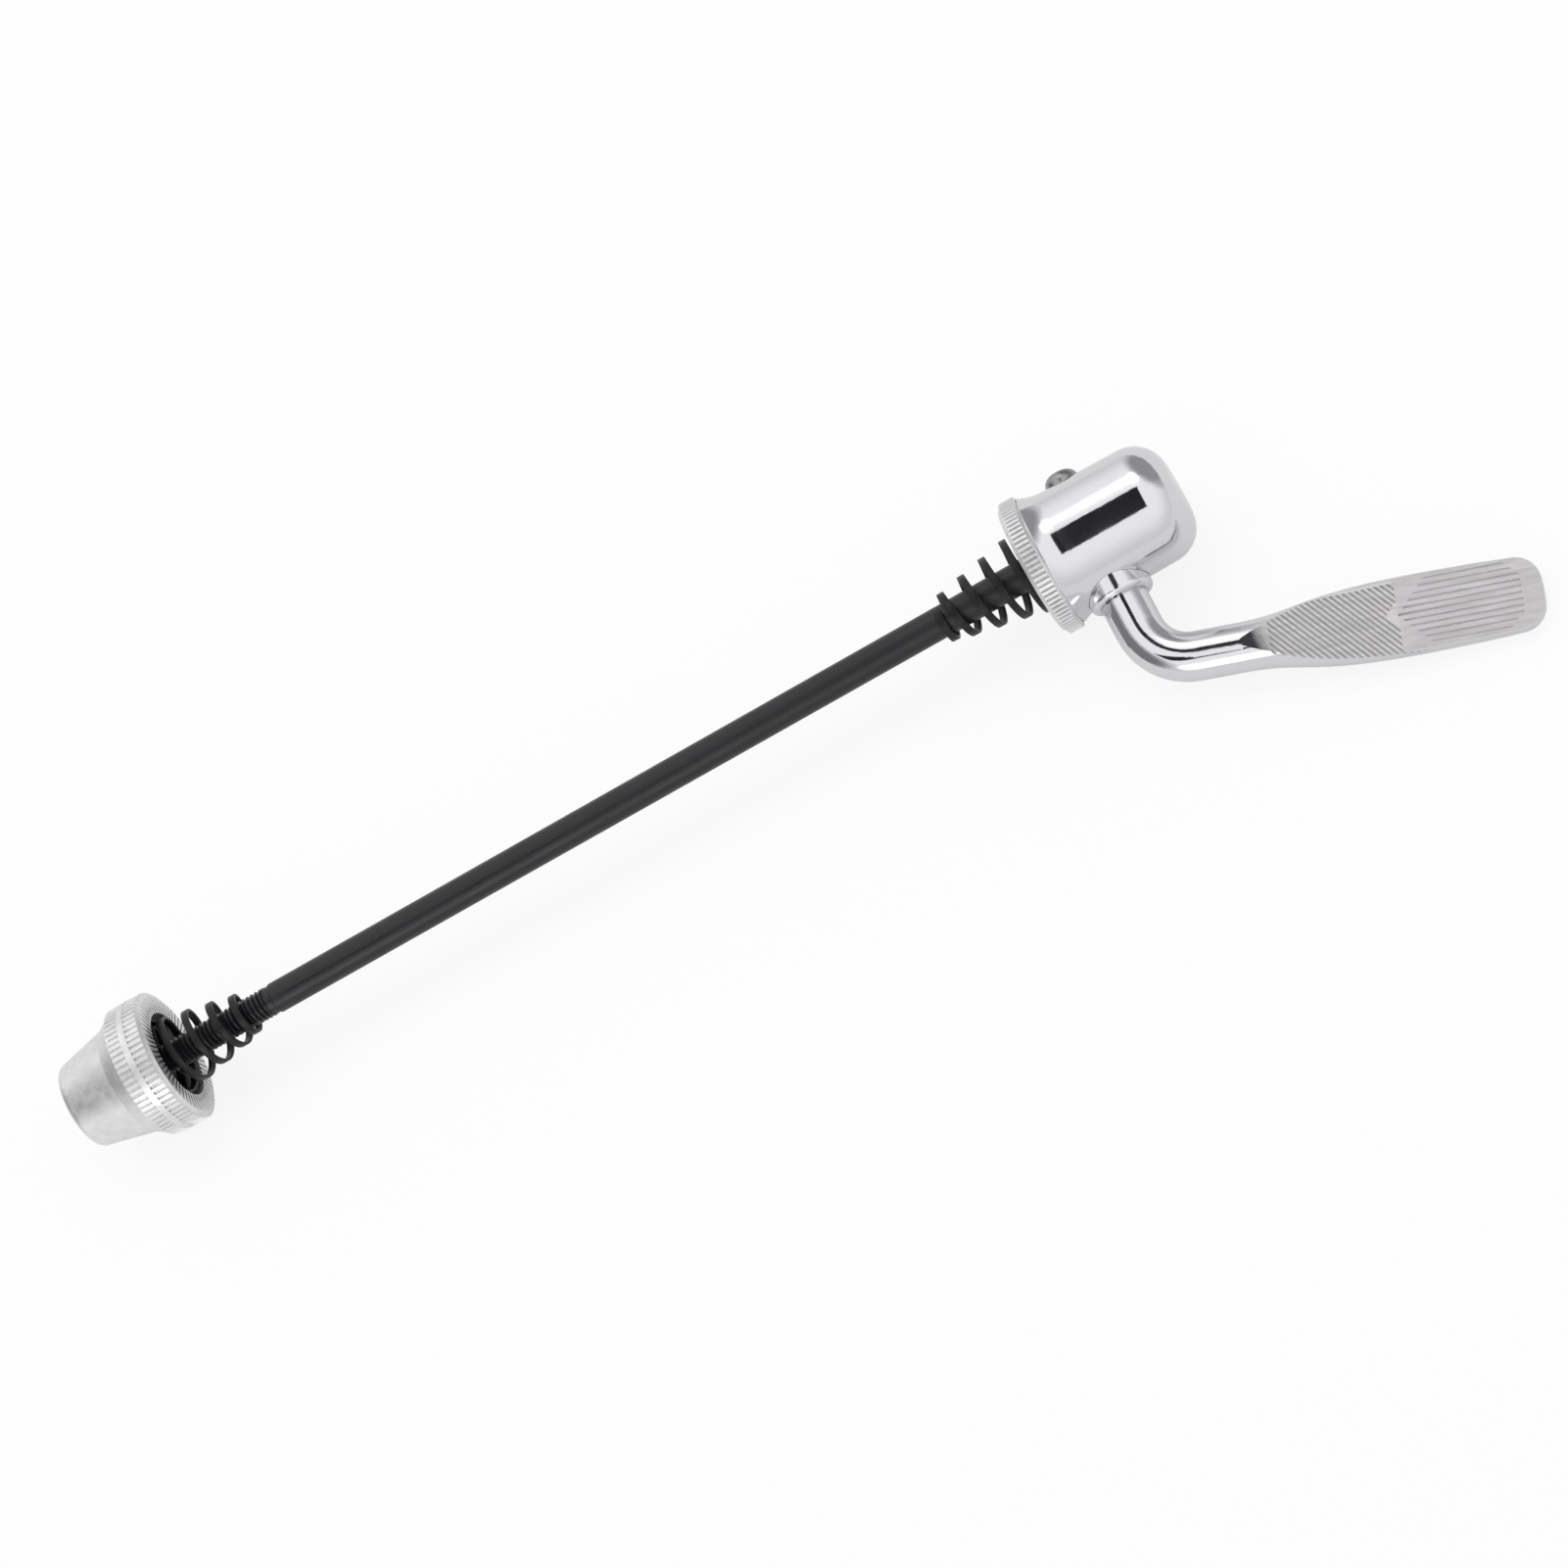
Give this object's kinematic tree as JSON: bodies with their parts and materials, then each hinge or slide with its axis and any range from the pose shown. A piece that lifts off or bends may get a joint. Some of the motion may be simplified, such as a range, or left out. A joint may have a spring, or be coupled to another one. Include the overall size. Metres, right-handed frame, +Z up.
{
  "type": "quick release skewer",
  "caption": "Long thin rod with a knurled cone nut at one end and an enclosed cam with a bent lever at the other; clamps a bicycle's rear wheel in its frame.",
  "frame": {"origin": "centre of the lever side's clamping face, on the rod's axis", "axes": "+X along the rod from the nut to the lever, +Z up as the skewer lies on its nut, flange and lever"},
  "size_m": [0.2385, 0.0557, 0.0224],
  "materials": {
    "black_rod": "black oxide, semi-gloss",
    "chrome_housing": "polished",
    "chrome_lever": "polished arm, satin paddle",
    "zinc_screw": "zinc plated",
    "steel_nut": "satin, tumbled",
    "black_insert": "moulded",
    "black_spring": "black oxide"
  },
  "bodies": {
    "housing": {"cam_housing": "chrome_housing", "lever_spring": "black_spring"},
    "lever": {"lever": "chrome_lever", "retaining_screw": "zinc_screw"},
    "rod": {"skewer_rod": "black_rod"},
    "nut_spring": {"nut_spring": "black_spring"},
    "nut": {"cone_nut": "steel_nut", "nut_insert": "black_insert"}
  },
  "joints": [
    {"name": "cam_lever", "type": "hinge", "parent": "housing", "child": "lever", "pos_m": [0.0103, 0, 0], "axis": [0, -0.9765, -0.2156], "range_deg": [-90, 90]},
    {"name": "cam_pull", "type": "slide", "parent": "housing", "child": "rod", "axis": [1, 0, 0], "range_m": [-0.00121, 0.00121]},
    {"name": "nut_travel", "type": "slide", "parent": "rod", "child": "nut_spring", "axis": [1, 0, 0], "range_m": [-0.00961, 0.01601]},
    {"name": "nut_turn", "type": "hinge", "parent": "nut_spring", "child": "nut", "pos_m": [-0.155, 0, 0], "axis": [1, 0, 0], "range_deg": [-4320, 7200]}
  ],
  "couplings": [
    {"joint": "cam_pull", "follows": "cam_lever", "m_per_rad": 0.00076394},
    {"joint": "nut_travel", "follows": "nut_turn", "m_per_rad": 0.00012732}
  ]
}
